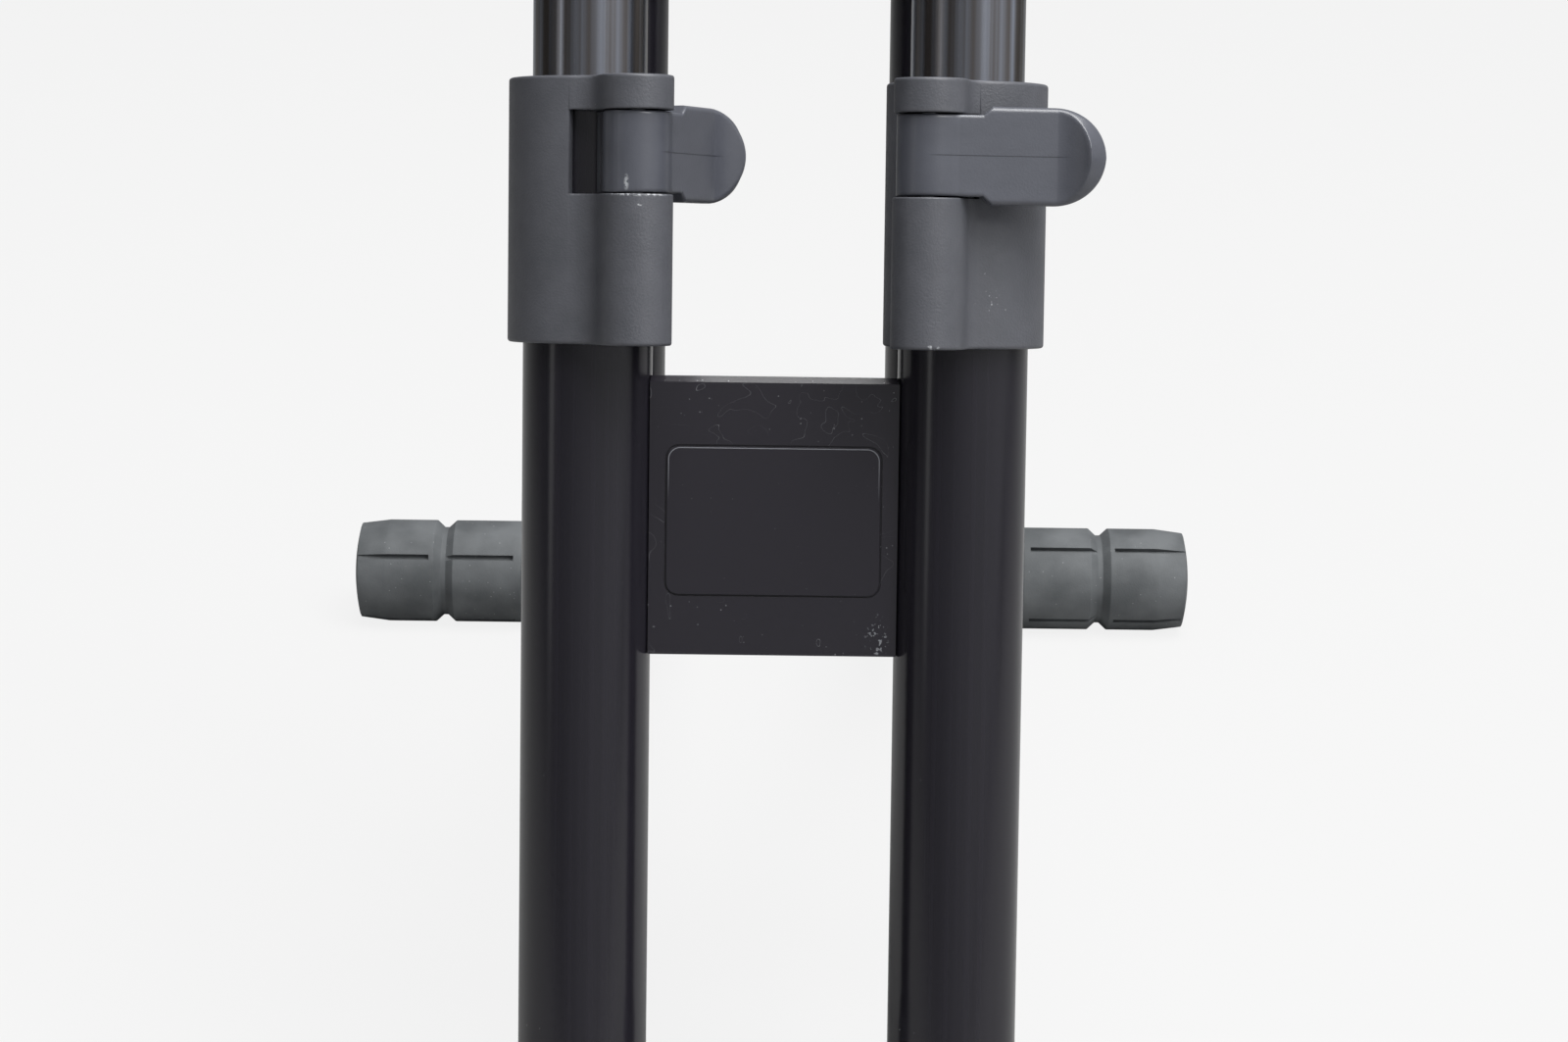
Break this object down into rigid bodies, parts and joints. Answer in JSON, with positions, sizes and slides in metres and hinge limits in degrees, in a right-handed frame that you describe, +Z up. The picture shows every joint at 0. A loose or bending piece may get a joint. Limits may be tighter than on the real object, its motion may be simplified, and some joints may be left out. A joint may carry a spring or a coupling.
{
  "type": "bike display stand",
  "caption": "Folding floor stand that holds a bicycle by its crank arm between two sleeved hoops, with quick-release height clamps, a cross bracket and a folding rear leg.",
  "frame": {"origin": "on the floor, in the middle of the stand's box", "axes": "+Z up, +X to the right as seen from the plate's face, +Y from the front foot to the rear foot"},
  "size_m": [0.252, 0.3914, 0.3404],
  "materials": {
    "tube_paint": "gloss black paint on steel tube",
    "hoop_paint": "gloss black plating on steel tube",
    "bracket_plastic": "gloss black moulded plastic, lightly scratched",
    "satin_plastic": "satin dark grey moulded nylon",
    "lever_plastic": "satin blue-grey moulded nylon",
    "label_film": "blank black film",
    "cap_rubber": "matt dark grey rubber",
    "sleeve_rubber": "matt black rubber",
    "zinc_steel": "zinc plated"
  },
  "bodies": {
    "base": {"left_front_tube": "tube_paint", "right_front_tube": "tube_paint", "left_rear_tube": "tube_paint", "right_rear_tube": "tube_paint", "left_rear_bush": "satin_plastic", "right_rear_bush": "satin_plastic", "left_clamp_collar": "satin_plastic", "right_clamp_collar": "satin_plastic", "left_lever_pin": "zinc_steel", "right_lever_pin": "zinc_steel", "left_pressure_shoe": "satin_plastic", "right_pressure_shoe": "satin_plastic", "cross_bracket": "bracket_plastic", "blank_label": "label_film", "left_hinge_bolt": "zinc_steel", "right_hinge_bolt": "zinc_steel", "front_foot_bar": "tube_paint", "left_front_cap": "cap_rubber", "right_front_cap": "cap_rubber", "left_front_tee": "satin_plastic", "right_front_tee": "satin_plastic", "left_front_tee_screw": "zinc_steel", "right_front_tee_screw": "zinc_steel", "left_front_lower_screw": "zinc_steel", "left_front_upper_screw": "zinc_steel", "left_rear_lower_screw": "zinc_steel", "left_rear_upper_screw": "zinc_steel", "right_front_lower_screw": "zinc_steel", "right_front_upper_screw": "zinc_steel", "right_rear_lower_screw": "zinc_steel", "right_rear_upper_screw": "zinc_steel"},
    "left_hoop": {"left_hoop": "hoop_paint", "left_hoop_sleeve": "sleeve_rubber", "left_front_glide_plug": "satin_plastic", "left_rear_glide_plug": "satin_plastic"},
    "right_hoop": {"right_hoop": "hoop_paint", "right_hoop_sleeve": "sleeve_rubber", "right_front_glide_plug": "satin_plastic", "right_rear_glide_plug": "satin_plastic"},
    "left_lever": {"left_lever": "lever_plastic"},
    "right_lever": {"right_lever": "lever_plastic"},
    "rear_leg": {"left_rear_leg": "tube_paint", "left_leg_knuckle": "satin_plastic", "left_rear_tee": "satin_plastic", "left_rear_tee_screw": "zinc_steel", "left_rear_cap": "cap_rubber", "right_rear_leg": "tube_paint", "right_leg_knuckle": "satin_plastic", "right_rear_tee": "satin_plastic", "right_rear_tee_screw": "zinc_steel", "right_rear_cap": "cap_rubber", "rear_foot_bar": "tube_paint"},
    "left_knob": {"left_hinge_knob": "satin_plastic"},
    "right_knob": {"right_hinge_knob": "satin_plastic"}
  },
  "joints": [
    {"name": "left_hoop_height", "type": "slide", "parent": "base", "child": "left_hoop", "axis": [0, 0.2588, 0.9659], "range_m": [-0.028, 0.035]},
    {"name": "right_hoop_height", "type": "slide", "parent": "base", "child": "right_hoop", "axis": [0, 0.2588, 0.9659], "range_m": [-0.028, 0.035]},
    {"name": "left_lever_swing", "type": "hinge", "parent": "base", "child": "left_lever", "pos_m": [-0.02663, -0.13668, 0.24954], "axis": [0, 0.2588, 0.9659], "range_deg": [-120, 0]},
    {"name": "right_lever_swing", "type": "hinge", "parent": "base", "child": "right_lever", "pos_m": [0.02863, -0.1376, 0.24979], "axis": [0, 0.2588, 0.9659], "range_deg": [-120, 0]},
    {"name": "rear_leg_fold", "type": "hinge", "parent": "base", "child": "rear_leg", "pos_m": [0, -0.04794, 0.11499], "axis": [1, 0, 0], "range_deg": [0, 98]},
    {"name": "left_knob_turn", "type": "hinge", "parent": "base", "child": "left_knob", "pos_m": [-0.015, -0.04794, 0.11499], "axis": [1, 0, 0], "continuous": true},
    {"name": "right_knob_turn", "type": "hinge", "parent": "base", "child": "right_knob", "pos_m": [0.015, -0.04794, 0.11499], "axis": [1, 0, 0], "continuous": true}
  ]
}
